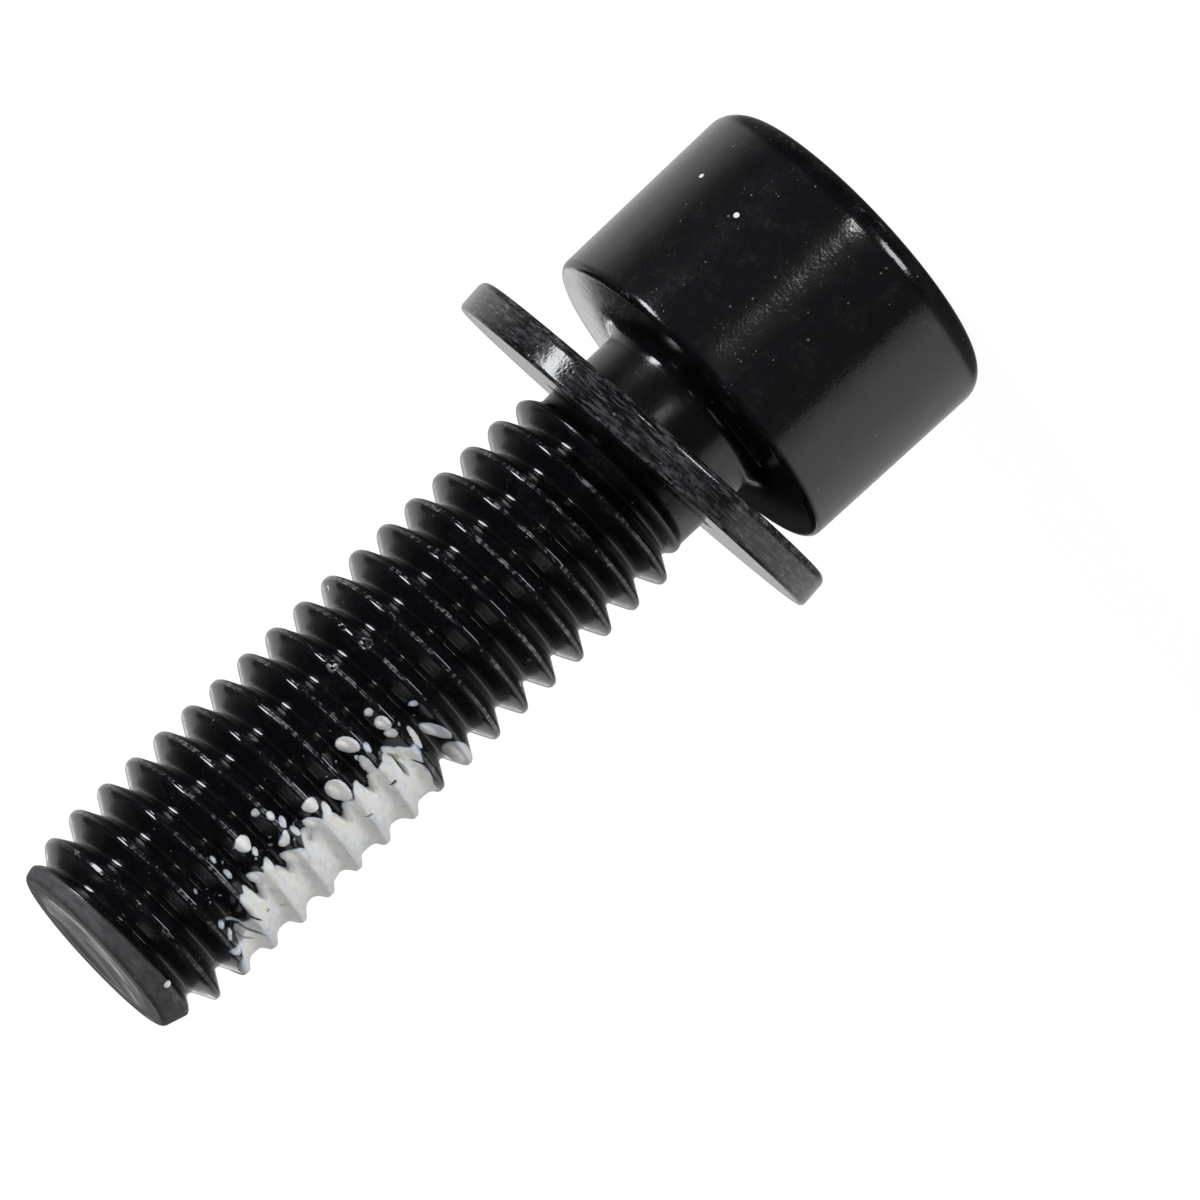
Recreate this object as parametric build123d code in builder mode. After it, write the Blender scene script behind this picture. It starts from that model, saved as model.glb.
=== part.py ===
from build123d import *
from math import atan2, cos, radians, sin, tan
import os

# Socket head cap screw, M5 x 0.8, with a captive washer, for a flat mount brake. It stands on its head:
# z = 0 is the end face of the head, +Z runs along the shank to the tip, and the axis is the Z axis.
# Lengths are in millimetres, and angles in degrees apart from the washer's lean, which is in radians.

# Thread: a plain cylinder over the crests, with the run-out of the rolling dies at its start
length_under_head = 17.0
thread_diameter = 4.88
run_out_length = 0.65

# Tip: a rolled point with a round lip and a shallow dish
point_length = 0.95
point_drop = 0.34
tip_lip_width = 0.5
tip_lip_fillet = 0.2
dish_depth = 0.12

# Head: forged, with a slight draft that makes it narrower towards its bearing face
head_height = 5.0
head_end_diameter = 7.9
head_draft = 0.8
head_end_fillet = 0.6
bearing_edge_fillet = 0.18

# Socket: a hexagon forged into a drilled hole, whose countersink just clears the corners
socket_across_flats = 4.0
socket_depth = 2.7
socket_corner_relief = 0.04
socket_mouth_angle = 90.0
drill_point_angle = 120.0

# Captive washer: the thread's crests stand over its hole, and it is slack on the neck under the head.
# Stamping has rounded its rim more on the head side
washer_diameter = 9.5
washer_thickness = 0.8
thread_over_washer = 0.14
washer_play = 0.225
washer_head_side_fillet = 0.2
washer_thread_side_fillet = 0.12
washer_bore_chamfer = 0.1

# Neck: the plain stretch between the head and the thread
neck_length = 2.1
neck_fillet = 0.35

# The washer lies slack: it leans over as far as the neck lets it, with its low side just off the head.
# Its high side's direction is an angle from +X towards +Y
washer_gap = 0.15
washer_high_side = -56.0

# Sizes that follow from the ones above
thread_radius = thread_diameter / 2
washer_bore_radius = thread_radius - thread_over_washer
neck_radius = washer_bore_radius - washer_play
tip_face_radius = thread_radius - point_drop
dish_radius = tip_face_radius - tip_lip_width
head_end_radius = head_end_diameter / 2
bearing_radius = head_end_radius - head_height * tan(radians(head_draft))
thread_start = head_height + neck_length
tip_height = head_height + length_under_head
drill_radius = socket_across_flats / 2
drill_point_length = drill_radius / tan(radians(drill_point_angle / 2))
socket_corner_radius = socket_across_flats / 2 / cos(radians(30))
washer_lean = atan2(neck_length - washer_gap - washer_thickness, bearing_radius + washer_bore_radius)
washer_height = (
    head_height + washer_gap + bearing_radius * tan(washer_lean) + washer_thickness / 2 / cos(washer_lean)
)

os.makedirs("parts", exist_ok=True)

# Bolt: half of its lengthwise section, turned about the axis, with the socket sunk into the head
with BuildPart() as bolt:
    with BuildSketch(Plane.XZ):
        with BuildLine():
            Polyline(
                (0, tip_height - dish_depth),
                (0, 0),
                (head_end_radius, 0),
                (bearing_radius, head_height),
                (neck_radius, head_height),
                (neck_radius, thread_start),
                (thread_radius, thread_start + run_out_length),
                (thread_radius, tip_height - point_length),
                (tip_face_radius, tip_height),
                (dish_radius, tip_height),
            )
            TangentArc((0, tip_height - dish_depth), (dish_radius, tip_height), tangent=(1, 0))
        make_face()
    revolve(axis=Axis.Z)

    rims = bolt.edges().filter_by(GeomType.CIRCLE).group_by(Axis.Z)
    head_end_edge = rims[0].sort_by(SortBy.RADIUS)[-1]
    neck_corner, bearing_edge = rims[1].sort_by(SortBy.RADIUS)
    tip_lip = rims[-1].sort_by(SortBy.RADIUS)[-1]
    fillet(head_end_edge, radius=head_end_fillet)
    fillet(neck_corner, radius=neck_fillet)
    fillet(bearing_edge, radius=bearing_edge_fillet)
    fillet(tip_lip, radius=tip_lip_fillet)

    with Locations(-Plane.XY):
        CounterSinkHole(
            radius=drill_radius,
            counter_sink_radius=socket_corner_radius + socket_corner_relief,
            counter_sink_angle=socket_mouth_angle,
            depth=socket_depth,
        )
    with BuildSketch(Plane.XY):
        RegularPolygon(radius=socket_across_flats / 2, side_count=6, major_radius=False)
    extrude(amount=socket_depth, mode=Mode.SUBTRACT)
    with Locations((0, 0, socket_depth)):
        Cone(
            bottom_radius=drill_radius,
            top_radius=0,
            height=drill_point_length,
            align=(Align.CENTER, Align.CENTER, Align.MIN),
            mode=Mode.SUBTRACT,
        )
bolt.part.label = "bolt"
export_step(bolt.part, "parts/bolt.step")

# Captive washer: a stamped ring on a plane that leans about the neck
high_side = Vector(cos(radians(washer_high_side)), sin(radians(washer_high_side)), 0)
uphill = high_side * cos(washer_lean) + Vector(0, 0, sin(washer_lean))
washer_normal = Vector(0, 0, cos(washer_lean)) - high_side * sin(washer_lean)
washer_plane = Plane(origin=(0, 0, washer_height), x_dir=uphill, z_dir=washer_normal)

with BuildPart() as captive_washer:
    with BuildSketch(washer_plane.offset(-washer_thickness / 2)):
        Circle(washer_diameter / 2)
        Circle(washer_bore_radius, mode=Mode.SUBTRACT)
    extrude(amount=washer_thickness)

    through_washer = Axis(washer_plane.origin, washer_plane.z_dir)
    bore_edges, rim_edges = captive_washer.edges().filter_by(GeomType.CIRCLE).group_by(SortBy.RADIUS)
    head_side_rim, thread_side_rim = rim_edges.sort_by(through_washer)
    chamfer(bore_edges, length=washer_bore_chamfer)
    fillet(head_side_rim, radius=washer_head_side_fillet)
    fillet(thread_side_rim, radius=washer_thread_side_fillet)
captive_washer.part.label = "captive_washer"
export_step(captive_washer.part, "parts/captive_washer.step")
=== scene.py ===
from math import atan, cos, pi, radians, sin, tan

import bpy
import numpy as np
from mathutils import Matrix, Vector


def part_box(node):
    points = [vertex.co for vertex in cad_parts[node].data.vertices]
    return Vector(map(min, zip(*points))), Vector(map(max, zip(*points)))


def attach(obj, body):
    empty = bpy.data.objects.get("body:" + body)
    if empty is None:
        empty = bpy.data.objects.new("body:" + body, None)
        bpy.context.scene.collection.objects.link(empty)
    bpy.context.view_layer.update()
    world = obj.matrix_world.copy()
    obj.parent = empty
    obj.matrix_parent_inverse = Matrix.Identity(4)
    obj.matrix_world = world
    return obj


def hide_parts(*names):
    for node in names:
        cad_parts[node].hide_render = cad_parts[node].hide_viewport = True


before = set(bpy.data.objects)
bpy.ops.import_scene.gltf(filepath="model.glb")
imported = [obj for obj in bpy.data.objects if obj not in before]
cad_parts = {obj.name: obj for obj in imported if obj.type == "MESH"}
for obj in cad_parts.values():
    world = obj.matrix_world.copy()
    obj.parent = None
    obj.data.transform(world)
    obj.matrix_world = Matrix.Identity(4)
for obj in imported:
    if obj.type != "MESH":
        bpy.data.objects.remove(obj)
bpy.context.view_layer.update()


# ---------------------------------------------------------------- Bolt
# The bolt is one piece of steel: the head and its socket are forged, the neck is turned, and the thread
# and the rounded point are rolled. A glossy black coating covers it, worn thin on the crests and edges.

# Sizes are in millimetres, and heights are above the end face of the head
mm = 0.001
bolt_low, bolt_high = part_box("bolt")
tip_height = (bolt_high.z - bolt_low.z) / mm
head_end_radius = (bolt_high.x - bolt_low.x) / 2 / mm

head_height = 5.0
head_draft = radians(0.8)
bearing_radius = head_end_radius - head_height * tan(head_draft)
head_end_rounding = 0.6
bearing_edge_rounding = 0.18
neck_radius = 2.075
neck_rounding = 0.35

thread_pitch = 0.8
flank_angle = radians(30)
crest_radius = 2.44
crest_rounding = 0.115
thread_depth = 0.49
sharp_depth = thread_pitch / 2 / tan(flank_angle)
root_rounding = sharp_depth - crest_rounding - thread_depth
root_radius = crest_radius - thread_depth
crest_height = 0.352
last_turn = crest_height + 26 * thread_pitch
seam_depth = 0.01
seam_width = 0.018
thread_start = 7.1
run_out = 0.65

# Near the tip the grooves fill, the wear along the crests ends and the matt finish of the point starts
taper_start = 20.8
tip_face_radius = 2.1
filling_start = 21.36
filling_length = 0.3
filling_slope = 0.11
crests_end = 21.63
point_start = 21.79
dull_start = 21.78
dull_limit = 21.8
tip_rounding = 0.14
dish_radius = 1.45
dish_depth = 0.12

socket_flat = 2.0
socket_depth = 2.7
corner_relief = 0.04
socket_mouth_radius = socket_flat / cos(pi / 6) + corner_relief
drill_radius = 1.985
drill_point_length = socket_flat / tan(radians(60))
drill_ring_depth = 0.008
drill_ring_rate = 60

# Share of a turn at each column, closest together on the side with the thread-lock patch
turn = np.concatenate([
    np.linspace(0, 180, 60, endpoint=False), np.linspace(180, 240, 32, endpoint=False),
    np.linspace(240, 300, 44, endpoint=False), np.linspace(300, 360, 35),
]) / 360


def smooth_step(low, high, value):
    """0 below low and 1 above high, with the cubic 3t^2 - 2t^3 between them."""
    t = np.clip((value - low) / (high - low), 0, 1)
    return t * t * (3 - 2 * t)


def thread_form(share):
    """Radius across one pitch, for a share of the pitch counted from a crest. Two flanks at 30 degrees to the
    radius meet the crest and the root in arcs: each arc is its centre's radius plus or minus the root of its
    own radius squared less the distance along the axis squared. Rolling leaves a seam in the crest."""
    along = thread_pitch * np.abs(share - np.round(share))
    from_root = thread_pitch / 2 - along
    flank = crest_radius + crest_rounding - along / tan(flank_angle)
    crest = crest_radius - crest_rounding + np.sqrt(np.maximum(crest_rounding**2 - along**2, 0))
    crest = crest - seam_depth * np.exp(-((along / seam_width) ** 2))
    root = root_radius + root_rounding - np.sqrt(np.maximum(root_rounding**2 - from_root**2, 0))
    on_crest = along < cos(flank_angle) * crest_rounding
    in_root = from_root < cos(flank_angle) * root_rounding
    return np.where(on_crest, crest, np.where(in_root, root, flank))


def point_radius(height):
    """Radius over the crests: the thread's own up to the taper, then a straight line to the tip."""
    taper = np.clip((height - taper_start) / (tip_height - taper_start), 0, 1)
    return crest_radius - (crest_radius - tip_face_radius) * taper


# Small dents in the crests with a burr round them: height, angle in degrees, width and depth
crest_nicks = [
    (14.60, 294, 0.22, 0.09), (13.78, 290.6, 0.26, 0.10), (13.87, 304.9, 0.12, 0.06),
    (16.80, 297, 0.16, 0.07), (11.40, 303, 0.18, 0.07), (12.24, 277.7, 0.12, 0.06),
    (18.45, 318, 0.14, 0.06), (15.28, 281, 0.10, 0.05),
]


def nick_distance(height, angle, nick):
    """Distance from a dent's middle, in half widths of the dent."""
    around = crest_radius * np.angle(np.exp(1j * (angle - radians(nick[1]))))
    return np.hypot(height - nick[0], around) / (nick[2] / 2)


def threaded_radius(height, angle):
    """Radius of the rolled thread. Its form is read at the height less the angle's share of a pitch, which
    makes it a right-hand helix. Towards the tip its depth shrinks with the taper and its grooves fill, a
    little further up on the +X side. Towards the head it runs out into the neck. A dent lowers the crest by a
    bell curve of the distance and throws up a burr, a narrower bell curve one half width out."""
    share = (height - crest_height) / thread_pitch - angle / (2 * pi)
    form = thread_form(share)
    over = point_radius(height)
    form = root_radius + (form - root_radius) * (over - root_radius) / thread_depth
    filling = height - filling_start - filling_slope * np.cos(angle)
    form = form + (over - form) * smooth_step(0, filling_length, filling)
    form = neck_radius + (form - neck_radius) * smooth_step(thread_start, thread_start + run_out, height)
    for nick in crest_nicks:
        far = nick_distance(height, angle, nick)
        dent = np.exp(-(far**2)) - 0.35 * np.exp(-(((far - 1.1) / 0.3) ** 2))
        form = form - nick[3] * dent * np.clip((form - root_radius) / thread_depth, 0, 1)
    return np.minimum(form, crest_radius)


def rounded_profile(corners, step):
    """Half of a lengthwise section as radius and height: straight runs between the corners, each corner
    replaced by an arc of its own rounding that is tangent to both runs, and the runs divided by the step."""
    points = [np.array(corners[0][:2])]
    for before, corner, after in zip(corners, corners[1:], corners[2:]):
        here = np.array(corner[:2])
        arrive = here - np.array(before[:2])
        leave = np.array(after[:2]) - here
        arrive, leave = arrive / np.hypot(*arrive), leave / np.hypot(*leave)
        turned = np.arctan2(arrive[0] * leave[1] - arrive[1] * leave[0], arrive @ leave)
        cut = corner[2] * abs(tan(turned / 2))
        inward = np.array([-arrive[1], arrive[0]]) * np.sign(turned)
        centre = here - arrive * cut + inward * corner[2]
        sweep = turned * np.linspace(0, 1, max(2, round(abs(turned) / radians(9)) + 1))[:, None]
        spoke = -inward * corner[2]
        across = np.array([-spoke[1], spoke[0]])
        points += list(centre + spoke * np.cos(sweep) + across * np.sin(sweep))
    points.append(np.array(corners[-1][:2]))
    section = []
    for start, end in zip(points, points[1:]):
        pieces = max(1, round(np.hypot(*(end - start)) / step))
        section += [start + (end - start) * k / pieces for k in range(pieces)]
    return np.array(section + [points[-1]])


def round_axis(radius, angle, height):
    """Points from radius, angle and height: x is the radius times the angle's cosine, y times its sine."""
    return np.stack(np.broadcast_arrays(radius * np.cos(angle), radius * np.sin(angle), height), axis=-1)


def turned_grid(section):
    """The section's points carried once round the axis."""
    return round_axis(section[:, 0, None], 2 * pi * turn[None, :], section[:, 1, None])


def socket_grid():
    """The socket's rows. Its radius at an angle is the flat's distance over the cosine of the angle to the
    nearest flat's middle, which draws the hexagon. A cone leads into it, and a drilled cone ends it."""
    angle = 2 * pi * turn
    hexagon = socket_flat / np.cos((angle % (pi / 3)) - pi / 6)
    mouth_height = socket_mouth_radius - hexagon
    rows = []
    for k in np.linspace(0, 1, 5)[1:]:
        rows.append((socket_mouth_radius + (hexagon - socket_mouth_radius) * k, mouth_height * k))
    for k in np.linspace(0, 1, 13)[1:]:
        rows.append((hexagon, mouth_height + (socket_depth - mouth_height) * k))
    for k in np.linspace(0, 1, 25):
        ring = drill_ring_depth * sin(drill_ring_rate * k) * sin(pi * k)
        height = socket_depth + drill_point_length * k + ring
        rows.append((drill_radius * (1 - k) + 0 * angle, height + 0 * angle))
    radius, height = (np.array(part) for part in zip(*rows))
    return round_axis(radius, angle, height)


def thread_grid(low, high):
    """Rows that run along the helix, so that each crest and root is one row. A row's height is its share of
    the pitch plus the angle's share, kept between low and high, and the rows that meet there are welded."""
    crest = np.linspace(0, 0.125, 6)
    flank = np.linspace(0.125, 0.38, 4)[1:]
    root = np.linspace(0.38, 0.62, 8)[1:-1]
    shares = np.concatenate([crest, flank, root, 1 - flank[::-1], 1 - crest[:0:-1]])
    first = int((low - crest_height) / thread_pitch) - 1
    last = int((high - crest_height) / thread_pitch) + 1
    row = np.concatenate([shares + k for k in range(first, last)])
    height = crest_height + thread_pitch * (row[:, None] + turn[None, :])
    snap = 0.003
    height = np.where(height < low + snap, low, np.where(height > high - snap, high, height))
    angle = 2 * pi * turn[None, :]
    return round_axis(threaded_radius(height, angle), angle, height)


def grid_quads(grid, outward=True):
    """The corners of each square of a grid of points, as an array of squares of four points each."""
    a, b, c, d = grid[:-1, :-1], grid[:-1, 1:], grid[1:, 1:], grid[1:, :-1]
    order = (a, b, c, d) if outward else (a, d, c, b)
    return np.stack([corner.reshape(-1, 3) for corner in order], axis=1)


def welded_mesh(name, quads):
    """A mesh from squares of points in millimetres. Points closer than a ten-thousandth are one point. A
    square that has lost one corner so becomes a triangle, and one that has lost two is dropped."""
    flat = np.round(quads.reshape(-1, 3), 4)
    points, index = np.unique(flat, axis=0, return_inverse=True)
    index = index.reshape(-1, 4)
    kept = index != np.roll(index, 1, axis=1)
    sides = kept.sum(axis=1)
    index, kept, sides = index[sides > 2], kept[sides > 2], sides[sides > 2]
    mesh = bpy.data.meshes.new(name)
    mesh.vertices.add(len(points))
    mesh.vertices.foreach_set("co", (points * mm).ravel())
    mesh.loops.add(int(sides.sum()))
    mesh.loops.foreach_set("vertex_index", index[kept].astype(np.int32))
    mesh.polygons.add(len(sides))
    mesh.polygons.foreach_set("loop_start", np.concatenate([[0], np.cumsum(sides)[:-1]]).astype(np.int32))
    mesh.polygons.foreach_set("use_smooth", np.ones(len(sides), bool))
    mesh.update(calc_edges=True)
    mesh.validate()
    mesh.set_sharp_from_angle(angle=radians(32))
    return mesh


def put_in_scene(mesh, material):
    """Puts a finished mesh into the scene, at the origin and unturned."""
    piece = bpy.data.objects.new(mesh.name, mesh)
    bpy.context.scene.collection.objects.link(piece)
    mesh.materials.append(material)
    return piece


def mark_points(mesh, name, marks):
    """Stores one number for each point of the mesh, worked out from its radius, angle and height."""
    points = np.empty(len(mesh.vertices) * 3)
    mesh.vertices.foreach_get("co", points)
    x, y, height = (points.reshape(-1, 3) / mm).T
    attribute = mesh.attributes.new(name, "FLOAT", "POINT")
    attribute.data.foreach_set("value", marks(np.hypot(x, y), np.arctan2(y, x), height).astype(np.float32))


def add(tree, kind, sockets=None, **settings):
    """Adds a node with its settings. Each socket named gets a value, or a link from another node's output."""
    made = tree.nodes.new(kind)
    for key, value in settings.items():
        setattr(made, key, value)
    for key, value in (sockets or {}).items():
        if isinstance(value, bpy.types.NodeSocket):
            tree.links.new(value, made.inputs[key])
        else:
            made.inputs[key].default_value = value
    return made


def arithmetic(tree, operation, *values):
    """What a Math node makes of these numbers and outputs."""
    return add(tree, "ShaderNodeMath", dict(enumerate(values)), operation=operation).outputs[0]


def spread(tree, value, low, high, new_low=0.0, new_high=1.0):
    """The value with low to high stretched over new_low to new_high, and held at those beyond them."""
    sockets = {"Value": value, "From Min": low, "From Max": high, "To Min": new_low, "To Max": new_high}
    return add(tree, "ShaderNodeMapRange", sockets).outputs[0]


def noise(tree, place, scale, detail, roughness=0.5):
    """A noise from 0 to 1 over the place, with its scale in waves to the metre."""
    sockets = {"Vector": place, "Scale": scale, "Detail": detail, "Roughness": roughness}
    return add(tree, "ShaderNodeTexNoise", sockets).outputs[0]


def blended(tree, share, first, second, blend_type="MIX"):
    """The first colour where the share is 0 and the second where it is 1."""
    sockets = {"Factor": share, 6: first, 7: second}
    return add(tree, "ShaderNodeMix", sockets, data_type="RGBA", blend_type=blend_type).outputs[2]


def new_group(name, numbers, puts_out):
    """An empty shader node group: what its Place and number inputs give, and the number that it puts out."""
    group = bpy.data.node_groups.new(name, "ShaderNodeTree")
    group.interface.new_socket("Place", in_out="INPUT", socket_type="NodeSocketVector")
    for key, value in numbers.items():
        socket = group.interface.new_socket(key, in_out="INPUT", socket_type="NodeSocketFloat")
        socket.default_value = value
    group.interface.new_socket(puts_out, in_out="OUTPUT", socket_type="NodeSocketFloat")
    return group, group.nodes.new("NodeGroupInput").outputs, group.nodes.new("NodeGroupOutput").inputs[0]


def rubbed_coating():
    """Where rubbing has gone through the coating: the edge's mark plus fine noise, over a threshold."""
    group, given, out = new_group("rubbed_coating", {"Edge": 0.0, "Grain": 9000.0, "Amount": 0.5}, "Bare")
    fine = noise(group, given["Place"], given["Grain"], 3.0)
    patchy = noise(group, given["Place"], 900.0, 2.0)
    reach = arithmetic(group, "MULTIPLY", given["Edge"], given["Amount"])
    total = arithmetic(group, "ADD", arithmetic(group, "ADD", fine, patchy), reach)
    bare = spread(group, total, 1.32, 1.52)
    group.links.new(arithmetic(group, "MULTIPLY", bare, given["Edge"]), out)
    return group


def scattered_cells(group, given):
    """The distance from a Voronoi cell's point, the cell's random number, and 1 where the cell is chosen."""
    cells = add(group, "ShaderNodeTexVoronoi", {"Vector": given["Place"], "Scale": given["Scale"]})
    random = add(group, "ShaderNodeSeparateColor", {0: cells.outputs["Color"]})
    chosen = arithmetic(group, "LESS_THAN", random.outputs[0], given["Share"])
    return cells.outputs["Distance"], random.outputs[1], chosen


def dust_specks():
    """Pale specks of dust: discs of a random size round the points of the chosen cells."""
    group, given, out = new_group("dust_specks", {"Scale": 1000.0, "Size": 0.06, "Share": 0.1}, "Dust")
    distance, random, chosen = scattered_cells(group, given)
    inside = arithmetic(group, "LESS_THAN", distance, arithmetic(group, "MULTIPLY", random, given["Size"]))
    group.links.new(arithmetic(group, "MULTIPLY", chosen, inside), out)
    return group


def coating_pits():
    """Small pits in the coating: a cone round the points of the chosen cells."""
    group, given, out = new_group("coating_pits", {"Scale": 9000.0, "Size": 0.22, "Share": 0.3}, "Depth")
    distance, _, chosen = scattered_cells(group, given)
    near = spread(group, distance, 0.0, given["Size"], 1.0, 0.0)
    group.links.new(arithmetic(group, "MULTIPLY", chosen, near), out)
    return group


def coating_grain():
    """The coating's fine unevenness: a broad and a fine noise mixed together, as a height."""
    group, given, out = new_group("coating_grain", {"Broad": 2500.0, "Fine": 16000.0, "Share": 0.4}, "Height")
    broad = noise(group, given["Place"], given["Broad"], 2.0)
    fine = noise(group, given["Place"], given["Fine"], 1.0)
    mixed = add(group, "ShaderNodeMix", {"Factor": given["Share"], 2: broad, 3: fine})
    group.links.new(mixed.outputs[0], out)
    return group


def hazy_film():
    """A thin film of grime: a soft noise that only counts where it is high, times a finer broken one."""
    group, given, out = new_group("hazy_film", {"Scale": 1800.0, "Start": 0.5}, "Haze")
    high = spread(group, noise(group, given["Place"], given["Scale"], 4.0, 0.65), given["Start"], 0.8)
    broken = spread(group, noise(group, given["Place"], 11000.0, 2.0), 0.35, 0.75)
    group.links.new(arithmetic(group, "MULTIPLY", high, broken), out)
    return group


rubbed, dust, pits = rubbed_coating(), dust_specks(), coating_pits()
grain, haze = coating_grain(), hazy_film()


def use_group(tree, group, place, **numbers):
    """What a node group puts out over the place, with these numbers or outputs in its inputs."""
    return add(tree, "ShaderNodeGroup", {"Place": place, **numbers}, node_tree=group).outputs[0]


def new_material(name):
    """A material with its node tree, its shader, and the place on the piece that its patterns read."""
    material = bpy.data.materials.new(name)
    material.use_nodes = True
    tree = material.node_tree
    return material, tree, tree.nodes["Principled BSDF"], add(tree, "ShaderNodeTexCoord").outputs["Object"]


def coating_colour(tree, place, dulled, bare, haze_level, scuffs, lies):
    """The coating's colour: black under a film of grime, scuffed along the way the piece turns, grey and
    scoured where it is matt, the colour of steel where it is bare, and dusty. The last number turns the
    scuffs into the plane that the piece lies in."""
    film = arithmetic(tree, "MULTIPLY", use_group(tree, haze, place), haze_level)
    black = blended(tree, film, (0.0042, 0.0036, 0.0047, 1), (0.2, 0.2, 0.21, 1))
    level = add(tree, "ShaderNodeMapping", {"Vector": place, "Rotation": lies}).outputs[0]
    drawn = add(tree, "ShaderNodeMapping", {"Vector": level, "Scale": (1, 1, 7)}).outputs[0]
    sideways = add(tree, "ShaderNodeMapping", {"Vector": place, "Scale": (0.3, 1, 1)}).outputs[0]
    streaks = noise(tree, drawn, 2300.0, 4.0, 0.65)
    blotches = spread(tree, noise(tree, sideways, 5200.0, 4.0, 0.7), 0.34, 0.6)
    broken = arithmetic(tree, "MULTIPLY", spread(tree, streaks, 0.46, 0.72), blotches)
    scuffed = blended(tree, arithmetic(tree, "MULTIPLY", broken, scuffs), black, (0.17, 0.17, 0.18, 1))
    rubbed_thin = arithmetic(tree, "MULTIPLY", streaks, blotches)
    scoured = blended(tree, rubbed_thin, (0.03, 0.03, 0.031, 1), (0.1, 0.1, 0.103, 1))
    thin = blended(tree, spread(tree, dulled, 0.2, 0.85), scuffed, scoured)
    worn = blended(tree, bare, thin, (0.17, 0.17, 0.18, 1))
    large = use_group(tree, dust, place, Scale=1000.0, Size=0.1, Share=0.3)
    small = use_group(tree, dust, place, Scale=5000.0, Size=0.16, Share=0.2)
    dusted = arithmetic(tree, "MAXIMUM", large, arithmetic(tree, "MULTIPLY", small, 0.14))
    return blended(tree, dusted, worn, (0.75, 0.76, 0.78, 1))


def black_coated_steel(name, edge_amount, haze_level, bump, scuffs, lies):
    """Glossy black coating over steel, bare in specks on rubbed edges, with pits and an uneven gloss. The
    dulled mark is 0 where the coating is glossiest and 1 where it is thin and matt."""
    material, tree, shader, place = new_material(name)
    edge = add(tree, "ShaderNodeAttribute", attribute_name="rubbed").outputs["Fac"]
    dulled = add(tree, "ShaderNodeAttribute", attribute_name="dulled").outputs["Fac"]
    bare = use_group(tree, rubbed, place, Edge=edge, Amount=edge_amount)
    uneven = use_group(tree, grain, place)
    colour = coating_colour(tree, place, dulled, bare, haze_level, scuffs, lies)
    tree.links.new(colour, shader.inputs["Base Color"])
    tree.links.new(arithmetic(tree, "MULTIPLY", bare, 0.4), shader.inputs["Metallic"])
    change = spread(tree, uneven, 0.3, 0.7, -0.02, 0.05)
    rough = arithmetic(tree, "ADD", spread(tree, dulled, 0.0, 1.0, 0.05, 0.72), change)
    dull = add(tree, "ShaderNodeMix", {"Factor": bare, 2: rough, 3: 0.35})
    tree.links.new(dull.outputs[0], shader.inputs["Roughness"])
    pocked = arithmetic(tree, "MULTIPLY_ADD", use_group(tree, pits, place), -0.5, uneven)
    height = arithmetic(tree, "MULTIPLY", pocked, spread(tree, dulled, 0.0, 0.11, 0.3, 1.0))
    relief = add(tree, "ShaderNodeBump", {"Height": height, "Distance": bump * mm, "Strength": 1.0})
    tree.links.new(relief.outputs[0], shader.inputs["Normal"])
    return material


# The bearing face keeps the fine rings of its turning
first_ring = neck_radius + neck_rounding + 0.05
ring_radii = np.linspace(first_ring, bearing_radius - bearing_edge_rounding - 0.05, 27)
bearing_rings = [(radius, head_height - 0.004 * (k % 2), 0) for k, radius in enumerate(ring_radii)]
neck_and_head = rounded_profile(
    [
        (neck_radius, thread_start, 0),
        (neck_radius, head_height, neck_rounding),
        *bearing_rings,
        (bearing_radius, head_height, bearing_edge_rounding),
        (head_end_radius, 0, head_end_rounding),
        (socket_mouth_radius + 0.12, 0, 0),
        (socket_mouth_radius, 0, 0),
    ],
    step=0.4,
)


def dish_height(share):
    """Height of the shallow dish in the tip: a parabola of the share of its radius."""
    return tip_height - dish_depth * (1 - share**2)


# The dish keeps the fine rings of its turning too
dish_rings = [
    (dish_radius * share, dish_height(share) - 0.003 * (k % 2), 0)
    for k, share in enumerate(np.linspace(0.92, 0, 19))
]
point = rounded_profile(
    [
        (float(point_radius(point_start)), point_start, 0),
        (tip_face_radius, tip_height, tip_rounding),
        (dish_radius, tip_height, 0.2),
        *dish_rings,
    ],
    step=0.12,
)
below = turned_grid(neck_and_head)
socket = socket_grid()
bolt_mesh = welded_mesh(
    "black_bolt",
    np.concatenate([
        grid_quads(thread_grid(thread_start, point_start)),
        grid_quads(turned_grid(point)),
        grid_quads(below, outward=False),
        grid_quads(np.concatenate([below[-1:], socket]), outward=False),
    ]),
)


def bell(radius, height, middle_radius, middle_height, across, along):
    """A bell of height 1 on the section: e to the minus the squares of the offsets over their reaches."""
    return np.exp(-(((radius - middle_radius) / across) ** 2 + ((height - middle_height) / along) ** 2))


def bolt_rubbing(radius, angle, height):
    """1 on the thread's crests and on the head's edges, falling to 0 beside them, and high in a band round
    the rim of the tip's face.
    """
    taper = crest_radius - point_radius(height)
    crest = smooth_step(crest_radius - 0.02, crest_radius - 0.005, radius + taper)
    for nick in crest_nicks:
        burr = np.exp(-(((nick_distance(height, angle, nick) - 1.0) / 0.35) ** 2))
        crest = np.maximum(crest, 1.6 * burr * smooth_step(root_radius + 0.1, root_radius + 0.3, radius))
    fading = 1 - 0.55 * smooth_step(crests_end - 0.33, crests_end - 0.03, height)
    thread = crest * fading * (height > thread_start) * (height < crests_end)
    bearing = 0.6 * bell(radius, height, bearing_radius - 0.04, head_height - 0.06, 0.05, 0.05)
    mouth = bell(radius, height, socket_mouth_radius, 0, 0.06, 0.06)
    end = 0.5 * bell(radius, height, head_end_radius - 0.2, 0.2, 0.2, 0.2)
    # Round the rim of the tip's face, a band of pale specks in the colour of bare steel
    lip = 0.95 * bell(radius, height, tip_face_radius - 0.16, tip_height, 0.13, 0.14)
    return np.clip(thread + bearing + mouth + end + lip, 0, 1.6)


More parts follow.
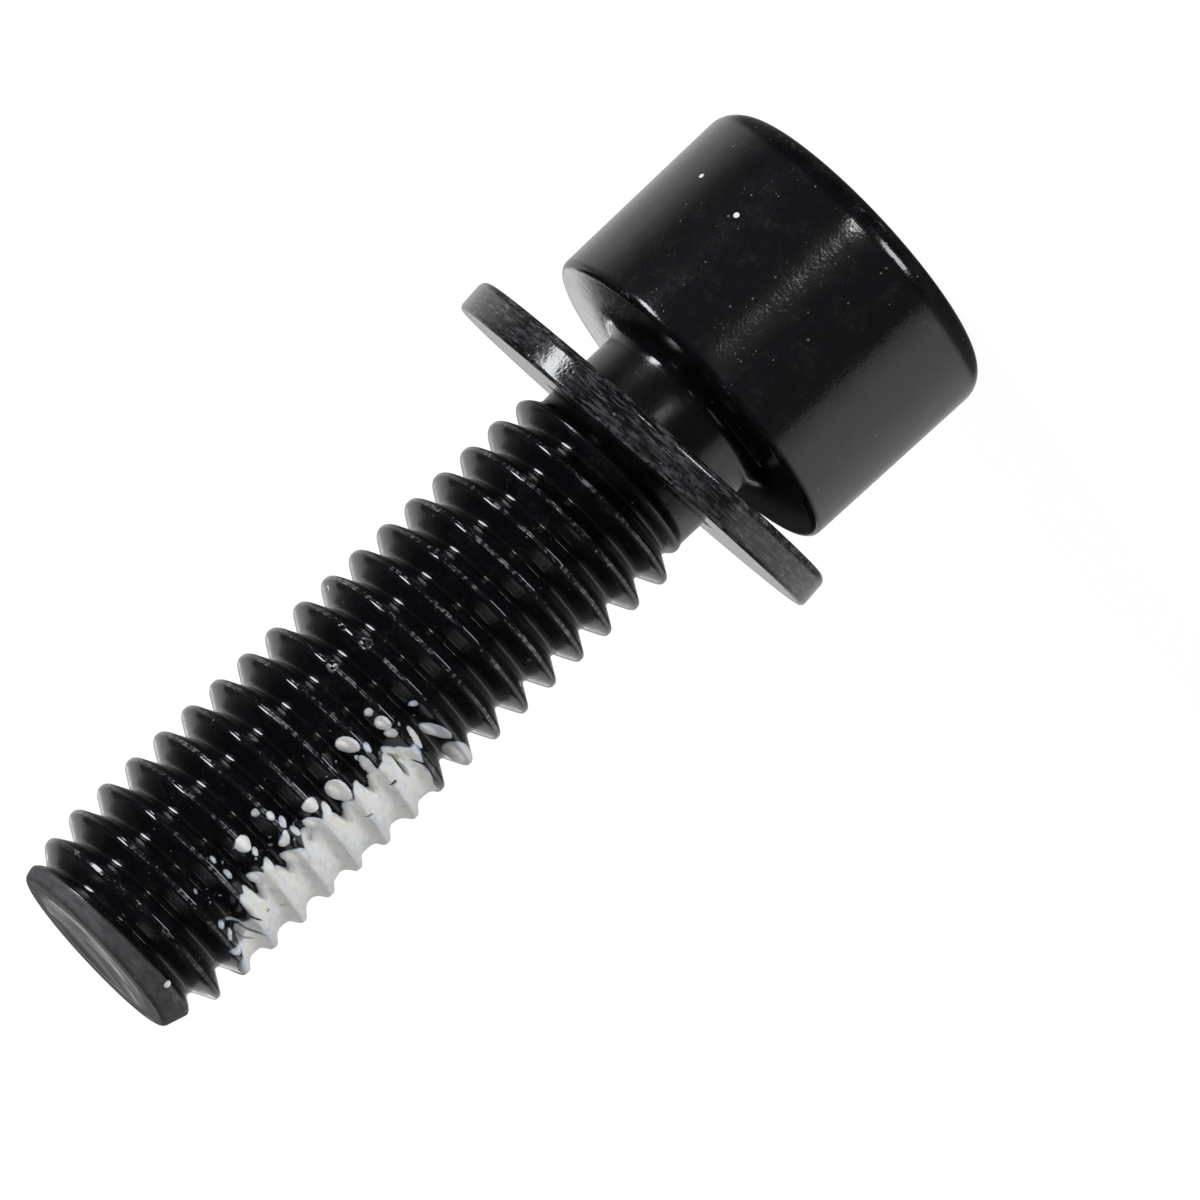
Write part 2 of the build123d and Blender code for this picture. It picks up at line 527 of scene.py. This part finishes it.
mark_points(bolt_mesh, "rubbed", bolt_rubbing)


def value_noise(rows, around, seed, row_step, around_step):
    """Smooth noise from 0 to 1: random numbers on a lattice, blended between its points by 3t^2 - 2t^3."""
    lattice = np.random.default_rng(seed).random((64, 64))
    u, v = rows / row_step, around / around_step
    i, j = np.floor(u).astype(int), np.floor(v).astype(int)
    s, t = smooth_step(0, 1, u - i), smooth_step(0, 1, v - j)
    corner = [[lattice[(i + di) % 64, (j + dj) % 64] for dj in (0, 1)] for di in (0, 1)]
    near, far = (corner[0][k] * (1 - s) + corner[1][k] * s for k in (0, 1))
    return near * (1 - t) + far * t


def bolt_dulling(radius, angle, height):
    """0 on the thread's crests and roots, a little on its flanks, the head and the neck, most on the point,
    and less in its dish. The point is dull from just under the last crest, which rises as the helix does for
    half a turn and then stays close to one height."""
    on_neck = (radius < neck_radius + 0.01) * (height > head_height)
    beside_neck = (radius > neck_radius + 0.02) * (height > head_height - 0.01)
    fillet = beside_neck * (height < head_height + neck_rounding)
    fillet = fillet * smooth_step(neck_radius + 0.9, neck_radius + 0.4, radius)
    lower = 0.11 + 0.1 * on_neck - 0.07 * fillet
    angle = angle % (2 * pi)
    level_off = dull_start - (dull_start - last_turn - thread_pitch / 2) * angle / pi
    last_crest = np.where(angle > pi, last_turn + thread_pitch * angle / (2 * pi), level_off)
    cone = 0.85 * smooth_step(-0.15, -0.07, height - np.minimum(last_crest, dull_limit))
    dish = smooth_step(dish_radius + 0.3, dish_radius - 0.05, radius) * (height > dull_limit)
    marks = value_noise(radius * np.cos(angle), 3 * radius * np.sin(angle), 21, 0.6, 0.6)
    flank = smooth_step(root_radius + 0.03, root_radius + 0.12, radius)
    flank = flank * smooth_step(crest_radius - 0.05, crest_radius - 0.12, radius)
    head = smooth_step(head_height + 2.2, head_height + 1.8, height)
    return lower * head + 0.2 * flank * (1 - head) + cone - (0.1 + 0.45 * marks) * dish


mark_points(bolt_mesh, "dulled", bolt_dulling)
bolt_coating = black_coated_steel(
    "black_coated_steel", edge_amount=0.31, haze_level=0.11, bump=0.006, scuffs=0.0, lies=(0, 0, 0)
)
bolt = put_in_scene(bolt_mesh, bolt_coating)
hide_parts("bolt")
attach(bolt, "bolt")


# ---------------------------------------------------------------- Captive washer
# The washer is stamped from sheet, so its rim is rounder on the head's side, and coated black like the bolt.
# The crests stand over its hole, so it stays loose on the neck, where it leans over.

washer_radius = 4.75
washer_bore_radius = 2.3
washer_thickness = 0.8
washer_gap = 0.15
washer_high_side = radians(-56)
head_side_rounding = 0.2
thread_side_rounding = 0.12
bore_rounding = 0.1
washer_lean = atan(
    (thread_start - head_height - washer_gap - washer_thickness) / (bearing_radius + washer_bore_radius)
)
washer_height = (
    head_height + washer_gap + bearing_radius * tan(washer_lean) + washer_thickness / 2 / cos(washer_lean)
)

washer_section = rounded_profile(
    [
        ((washer_bore_radius + washer_radius) / 2, -washer_thickness / 2, 0),
        (washer_radius, -washer_thickness / 2, head_side_rounding),
        (washer_radius, washer_thickness / 2, thread_side_rounding),
        (washer_bore_radius, washer_thickness / 2, bore_rounding),
        (washer_bore_radius, -washer_thickness / 2, bore_rounding),
        ((washer_bore_radius + washer_radius) / 2, -washer_thickness / 2, 0),
    ],
    step=0.12,
)
lean = Matrix.Rotation(washer_high_side, 3, "Z") @ Matrix.Rotation(-washer_lean, 3, "Y")
leaning = turned_grid(washer_section) @ np.array(lean).T + np.array([0, 0, washer_height])
washer_mesh = welded_mesh("black_washer", grid_quads(leaning))


def washer_rubbing(radius, angle, height):
    """1 on both edges of the washer's rim, falling to 0 beside them. The point is first turned back level."""
    x, y, level = (round_axis(radius, angle, height - washer_height) @ np.array(lean)).T
    from_axis = np.hypot(x, y)
    head_side = bell(from_axis, level, washer_radius - 0.08, 0.08 - washer_thickness / 2, 0.1, 0.1)
    thread_side = bell(from_axis, level, washer_radius - 0.05, washer_thickness / 2 - 0.05, 0.07, 0.07)
    return np.clip(head_side + thread_side, 0, 1)


mark_points(washer_mesh, "rubbed", washer_rubbing)
mark_points(washer_mesh, "dulled", lambda radius, angle, height: 0.1 + 0 * radius)
washer_coating = black_coated_steel(
    "black_washer_steel", edge_amount=0.3, haze_level=0.46, bump=0.008, scuffs=0.75,
    lies=tuple(lean.inverted().to_euler()),
)
washer = put_in_scene(washer_mesh, washer_coating)
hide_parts("captive_washer")
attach(washer, "washer")


# ---------------------------------------------------------------- Thread-lock patch
# The patch is white adhesive, dabbed on one side of the thread and dried to a chalky skin. It has filled
# the grooves and drawn back from the crests at its front edge, where it stands in tongues and single drops.

patch_low, patch_high = 13.2, 20.3
patch_back, patch_front = radians(152), radians(270)
body_low, body_high = 14.35, 19.3
body_front = radians(239)
lobe_width = 0.16
film = 0.022
fill_radius = 2.23
fill_blend = 0.16
edge_fade = 0.12
sunk = 0.02
least_thickness = 0.0002

# Drops and tongues in front of the body: height, angle, half lengths along the bolt and round it, how far
# they stand over the thread, and how far they slant along the bolt for each millimetre round it
beads = [
    (18.50, 259, 0.16, 0.17, 0.07, 0), (18.42, 252, 0.08, 0.09, 0.04, 0), (17.88, 266, 0.07, 0.09, 0.03, 0),
    (17.70, 260, 0.08, 0.10, 0.04, 0), (17.58, 253, 0.10, 0.12, 0.04, 0), (16.92, 250, 0.15, 0.15, 0.07, 0),
    (15.50, 259, 0.14, 0.22, 0.06, 0.2), (15.25, 252, 0.08, 0.12, 0.03, 0),
    (14.72, 264, 0.07, 0.09, 0.04, 0), (14.66, 255, 0.11, 0.18, 0.05, 0), (14.66, 248, 0.09, 0.12, 0.04, 0),
    (13.90, 251, 0.07, 0.08, 0.03, 0), (19.17, 263, 0.06, 0.09, 0.03, 0),
    (19.13, 252, 0.07, 0.13, 0.03, 0.2), (19.85, 256, 0.05, 0.07, 0.02, 0),
    (16.26, 244, 0.16, 0.30, 0.06, 0), (18.66, 237, 0.15, 0.22, 0.06, 0.2),
    (18.43, 239, 0.14, 0.25, 0.06, -0.15), (17.78, 246, 0.09, 0.17, 0.05, -0.5),
    (17.47, 243, 0.07, 0.18, 0.05, 0.3), (17.05, 238, 0.15, 0.23, 0.06, 0.2),
    (16.77, 239, 0.15, 0.23, 0.06, -0.2), (15.96, 236, 0.15, 0.22, 0.06, 0),
    (15.46, 243, 0.08, 0.30, 0.05, 0), (15.18, 236, 0.17, 0.2, 0.06, 0.2),
    (14.76, 233, 0.12, 0.36, 0.04, 0.55), (14.32, 237, 0.09, 0.28, 0.05, 0),
    (13.88, 229, 0.16, 0.28, 0.045, 0.25), (13.70, 203, 0.19, 0.62, 0.045, 0.05),
    (19.18, 233, 0.13, 0.30, 0.05, 0.2), (17.80, 233, 0.20, 0.22, 0.05, 0),
    (17.35, 233, 0.20, 0.20, 0.05, 0), (19.90, 233, 0.07, 0.13, 0.03, 0.4),
    (19.88, 224, 0.09, 0.12, 0.03, 0.4), (19.98, 215, 0.10, 0.18, 0.03, 0.5),
    (19.60, 224, 0.06, 0.16, 0.03, 0.6),
]
# Specks spattered round them
spatter = np.random.default_rng(21)
specks = [
    (13.9 + 5.9 * a, 243 + 17 * b * b, 0.02 + 0.02 * c, 0.02 + 0.02 * c, 0.015, 0)
    for a, b, c in spatter.random((34, 3))
]
# Bare places, with the same first four numbers and the slant
gaps = [
    (18.85, 229, 0.07, 0.26, 0), (18.95, 217, 0.06, 0.05, 0), (18.05, 229, 0.07, 0.26, 0),
    (16.47, 228, 0.08, 0.22, 0), (15.66, 233, 0.07, 0.22, 0), (14.90, 226, 0.05, 0.34, 0),
    (19.48, 216, 0.035, 0.42, 0.55), (19.66, 213, 0.03, 0.30, 0.6), (19.28, 224, 0.03, 0.20, 0.5),
    (18.60, 214, 0.08, 0.03, 0), (16.10, 223, 0.09, 0.03, 0.6), (15.28, 228, 0.09, 0.04, -0.6),
    (14.52, 222, 0.03, 0.30, 0.5), (17.02, 194, 0.05, 0.05, 0), (14.20, 222, 0.06, 0.6, 0),
]


def ellipse(height, around, middle, long, wide, slant):
    """How far a point is from an ellipse's middle, squared, where 1 is its edge. The slant shears it."""
    offset = around - crest_radius * radians(middle[1])
    along = height - middle[0] - slant * offset
    return (along / long) ** 2 + (offset / wide) ** 2


def front_edge(height, around, from_crest):
    """Angle of the body's front edge: a lobe, half an ellipse, on either side of each crest, drawn back at
    some crests and in some grooves, and then moved by a coarse and a fine noise."""
    lobe = np.sqrt(np.clip(1 - ((from_crest - lobe_width) / lobe_width) ** 2, 0, 1))
    notched = smooth_step(0.2, 0.6, value_noise(height, 0 * around, 13, 0.8, 1))
    open_grooves = smooth_step(0.15, 0.5, value_noise(height, 0 * around, 12, 0.8, 1))
    from_root = thread_pitch / 2 - from_crest
    front = body_front - 0.11 * (1 - lobe) * np.where(from_crest < lobe_width, notched, 1)
    front = front - 0.1 * open_grooves * np.exp(-((from_root / 0.1) ** 2))
    front = front + 0.16 * (value_noise(height, 0 * around, 5, 0.5, 1) - 0.5)
    return front + 0.08 * (value_noise(height, around, 6, 0.2, 0.3) - 0.5)


def patch_radius(height, angle):
    """Outer radius of the adhesive. Its body is the soft maximum of a film over the thread and a level that
    half fills the grooves: the mean of the two plus half the root of their difference squared and the blend
    squared. It fades in from its edges by a square root. Beads are ellipsoids over the thread. Where there is
    no adhesive, the radius is just under the thread's."""
    thread = threaded_radius(height, angle)
    around = crest_radius * angle
    share = (height - crest_height) / thread_pitch - angle / (2 * pi)
    from_crest = thread_pitch * np.abs(share - np.round(share))
    lumps = value_noise(height, around, 3, 0.32, 0.45)
    fine = value_noise(height, around, 8, 0.09, 0.12)
    level = fill_radius + 0.06 * (lumps - 0.5) + 0.015 * (fine - 0.5)
    over = thread + film * (0.4 + 1.2 * lumps) + 0.01 * (fine - 0.5)
    body = (over + level + np.sqrt((over - level) ** 2 + fill_blend**2)) / 2
    far_end = body_high + 0.75 * smooth_step(radians(228), radians(206), angle) + 0.25 * (lumps - 0.5)
    ends = np.minimum(height - body_low - 0.2 * lumps, far_end - height)
    back = around - crest_radius * (patch_back + 0.15 + 0.2 * value_noise(height, around, 9, 0.5, 0.5))
    front = crest_radius * (front_edge(height, around, from_crest) - angle)
    inside = np.minimum(np.minimum(front, ends), back)
    outer = thread - sunk + (body - thread + sunk) * np.sqrt(np.clip(inside / edge_fade, 0, 1))
    for bead_height, bead_angle, long, wide, proud, slant in beads + specks:
        far = ellipse(height, around, (bead_height, bead_angle), 1.12 * long, 1.12 * wide, slant)
        top = threaded_radius(np.array(bead_height), np.array(radians(bead_angle))) + proud
        rise = np.sqrt(np.clip(1 - far, 0, 1))
        dome = np.maximum(top - 0.3 * (1 - rise), thread + proud * np.sqrt(rise))
        outer = np.where(far < 1, np.maximum(outer, dome), outer)
    for gap_height, gap_angle, long, wide, slant in gaps:
        far = ellipse(height, around, (gap_height, gap_angle), long, wide, slant)
        outer = outer - (outer - thread + sunk) * (1 - smooth_step(0.4, 1.0, far))
    return np.maximum(outer, thread - sunk)


def lone_drop(height, angle, wide, proud):
    """A drop by itself: a ball squashed to its height and half width, with its middle on the thread."""
    down, about = np.meshgrid(np.linspace(0, pi, 13), np.linspace(0, 2 * pi, 25), indexing="ij")
    middle = float(threaded_radius(np.array(height), np.array(angle)))
    aside = angle + wide / middle * np.sin(down) * np.sin(about)
    return round_axis(middle + proud * np.cos(down), aside, height + wide * np.sin(down) * np.cos(about))


def patch_thickness(radius, angle, height):
    """How far the adhesive stands over the thread."""
    return radius - threaded_radius(height, angle % (2 * pi))


rows, steps = 322, 218
height_grid, angle_grid = np.meshgrid(
    np.linspace(patch_low, patch_high, rows), np.linspace(patch_back, patch_front, steps), indexing="ij"
)
outer_radius = patch_radius(height_grid, angle_grid)
under_radius = threaded_radius(height_grid, angle_grid) - sunk
thick = outer_radius > under_radius + least_thickness
covered = (thick[:-1, :-1] | thick[:-1, 1:] | thick[1:, 1:] | thick[1:, :-1]).ravel()
outer_sheet = grid_quads(round_axis(outer_radius, angle_grid, height_grid))[covered]
under_sheet = grid_quads(round_axis(under_radius, angle_grid, height_grid), outward=False)[covered]
last_drop = grid_quads(lone_drop(height=21.54, angle=radians(227.5), wide=0.085, proud=0.05))
patch_mesh = welded_mesh("thread_lock_patch", np.concatenate([outer_sheet, under_sheet, last_drop]))
mark_points(patch_mesh, "thickness", patch_thickness)


def graded(tree, value, stops):
    """The colours of a ramp over the value, from stops of a value and a colour each, in rising order."""
    ramp = add(tree, "ShaderNodeValToRGB", {0: value})
    elements = ramp.color_ramp.elements
    while len(elements) < len(stops):
        elements.new(0.5)
    for element, (at, colour) in zip(elements, stops):
        element.position = at
        element.color = colour
    return ramp.outputs[0]


def dried_adhesive():
    """Chalky white adhesive, blue-grey where it is too thin to hide the black, with a faintly creamy body."""
    material, tree, shader, place = new_material("thread_lock_patch")
    thick = add(tree, "ShaderNodeAttribute", attribute_name="thickness").outputs["Fac"]
    cream = graded(tree, noise(tree, place, 3500.0, 4.0, 0.6), [
        (0.36, (0.68, 0.7, 0.73, 1)), (0.48, (0.82, 0.82, 0.8, 1)), (0.64, (0.78, 0.75, 0.68, 1)),
    ])
    tint = graded(tree, spread(tree, thick, 0.0, 0.05), [
        (0.0, (0.03, 0.04, 0.07, 1)), (0.3, (0.34, 0.4, 0.53, 1)), (0.6, (0.78, 0.83, 0.9, 1)),
        (0.95, (1, 1, 1, 1)),
    ])
    tree.links.new(blended(tree, 1.0, cream, tint, "MULTIPLY"), shader.inputs["Base Color"])
    shader.inputs["Roughness"].default_value = 0.5
    fine = noise(tree, place, 14000.0, 2.0)
    relief = add(tree, "ShaderNodeBump", {"Height": fine, "Distance": 0.008 * mm, "Strength": 1.0})
    tree.links.new(relief.outputs[0], shader.inputs["Normal"])
    return material


patch = put_in_scene(patch_mesh, dried_adhesive())
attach(patch, "bolt")


# ---------------------------------------------------------------- Floor, light and camera
# The bolt stands on its head on a white floor. Soft boxes and a studio of pale panels in a dark room give the
# glossy coating what it mirrors: panels behind and to the left, a tall lamp to the right and two low ones in
# front. The camera looks slightly down on the bolt and is rolled, so the bolt lies across the picture.

bolt_middle = Vector((0, 0, tip_height / 2 * mm))


def lamp(name, azimuth, elevation, wide, tall, radiance, colour, shape="RECTANGLE", mirrored=True):
    """A soft box that looks at the bolt's middle and covers the given angles. Its azimuth is counted from the
    camera's side, -Y, towards +X. Its power is its radiance times pi times its area, and an ellipse has
    pi / 4 of the area of its box."""
    distance = 0.5
    width, length = (2 * distance * tan(radians(side) / 2) for side in (wide, tall))
    light = bpy.data.lights.new(name, "AREA")
    light.shape = shape
    light.size, light.size_y = width, length
    light.energy = radiance * pi * width * length * (pi / 4 if shape == "ELLIPSE" else 1)
    light.color = colour
    made = bpy.data.objects.new(name, light)
    bpy.context.scene.collection.objects.link(made)
    a, e = radians(azimuth), radians(elevation)
    back = Vector((sin(a) * cos(e), -cos(a) * cos(e), sin(e)))
    made.location = back * distance + bolt_middle
    made.rotation_euler = back.to_track_quat("Z", "Y").to_euler()
    made.visible_camera = False
    made.visible_glossy = mirrored


# Each lamp's azimuth, elevation, width and height in degrees, then its radiance and its colour
lamp("right_soft_box", 64, 18, 13, 44, 19, (0.93, 0.96, 1.0), "ELLIPSE")
lamp("front_lamp", 9, -18, 6.5, 6.5, 24, (1.0, 1.0, 1.0), "ELLIPSE")
lamp("left_strip", -24.5, -42, 19, 16, 13, (0.93, 0.96, 1.0))
lamp("back_panel", 176, 18, 74, 27, 0.36, (1.0, 1.0, 1.0))
lamp("low_back_panel", 180, 10, 22, 12, 0.85, (1.0, 1.0, 1.0))
lamp("left_fill", -32, 20, 60, 60, 0.8, (1.0, 1.0, 1.0), mirrored=False)

world = bpy.data.worlds.new("studio")
bpy.context.scene.world = world
world.use_nodes = True
tree = world.node_tree
background = tree.nodes["Background"]
direction = add(tree, "ShaderNodeSeparateXYZ", {0: add(tree, "ShaderNodeTexCoord").outputs["Generated"]})
front = arithmetic(tree, "MULTIPLY", direction.outputs["Y"], -1.0)
around = arithmetic(tree, "ARCTAN2", direction.outputs["X"], front)

# How bright the studio is at each azimuth in degrees, and what is left of it at each height
panel_levels = [
    (-180, 0.6), (-150, 0.5), (-122, 0.85), (-97, 1.05), (-76, 1.2), (-60, 0.7), (-55, 0.09), (-7, 0.09),
    (-2, 0.22), (6, 0.22), (11, 0.09), (86, 0.09), (96, 0.2), (107, 0.5), (120, 0.8), (150, 0.85), (180, 0.6),
]
height_levels = [
    (-0.75, 0.08), (-0.4, 0.2), (-0.27, 0.9), (-0.22, 1.0), (0.0, 1.0), (0.14, 0.6), (0.4, 0.35), (0.5, 0.12),
]
panels = graded(tree, spread(tree, around, -pi, pi), [
    (azimuth / 360 + 0.5, (level, level, level, 1)) for azimuth, level in panel_levels
])
fade = graded(tree, spread(tree, direction.outputs["Z"], -1.0, 1.0), [
    ((height + 1) / 2, (level, level, level, 1)) for height, level in height_levels
])
faded = blended(tree, 1.0, panels, fade, "MULTIPLY")
seen = add(tree, "ShaderNodeLightPath").outputs["Is Camera Ray"]
tree.links.new(blended(tree, seen, faded, (1, 1, 1, 1)), background.inputs["Color"])

floor_mesh = bpy.data.meshes.new("floor")
reach = 3.0
floor_corners = [(-reach, -reach, 0), (reach, -reach, 0), (reach, reach, 0), (-reach, reach, 0)]
floor_mesh.from_pydata(floor_corners, [], [(0, 1, 2, 3)])
floor_material = bpy.data.materials.new("white_floor")
floor_material.use_nodes = True
tree = floor_material.node_tree
tree.nodes.remove(tree.nodes["Principled BSDF"])
diffuse = add(tree, "ShaderNodeBsdfDiffuse", {"Color": (0.8, 0.8, 0.8, 1)})
glow = add(tree, "ShaderNodeEmission", {"Color": (1.32, 1.32, 1.32, 1), "Strength": 1.0})
seen = arithmetic(tree, "MULTIPLY", add(tree, "ShaderNodeLightPath").outputs["Is Camera Ray"], 0.72)
mixed = add(tree, "ShaderNodeMixShader", {0: seen, 1: diffuse.outputs[0], 2: glow.outputs[0]})
clear = add(tree, "ShaderNodeBsdfTransparent")
below_floor = add(tree, "ShaderNodeNewGeometry").outputs["Backfacing"]
sides = add(tree, "ShaderNodeMixShader", {0: below_floor, 1: mixed.outputs[0], 2: clear.outputs[0]})
tree.links.new(sides.outputs[0], tree.nodes["Material Output"].inputs["Surface"])
floor = put_in_scene(floor_mesh, floor_material)
floor.visible_glossy = False
floor.visible_shadow = False

camera_distance = 0.26
camera_elevation = radians(9.79)
camera_roll = radians(-132.937)
camera_data = bpy.data.cameras.new("camera")
camera_data.sensor_width = 36
camera_data.lens = 374.85
camera_data.clip_start = 0.01
camera = bpy.data.objects.new("camera", camera_data)
bpy.context.scene.collection.objects.link(camera)
bpy.context.scene.camera = camera
upright = Matrix.Rotation(pi / 2 - camera_elevation, 4, "X")
aim = bolt_middle + upright.to_3x3() @ Vector((-1.785 * mm, -1.773 * mm, 0))
stand_back = Matrix.Translation((0, 0, camera_distance)) @ Matrix.Rotation(camera_roll, 4, "Z")
camera.matrix_world = Matrix.Translation(aim) @ upright @ stand_back

bpy.context.scene.view_settings.view_transform = "Standard"
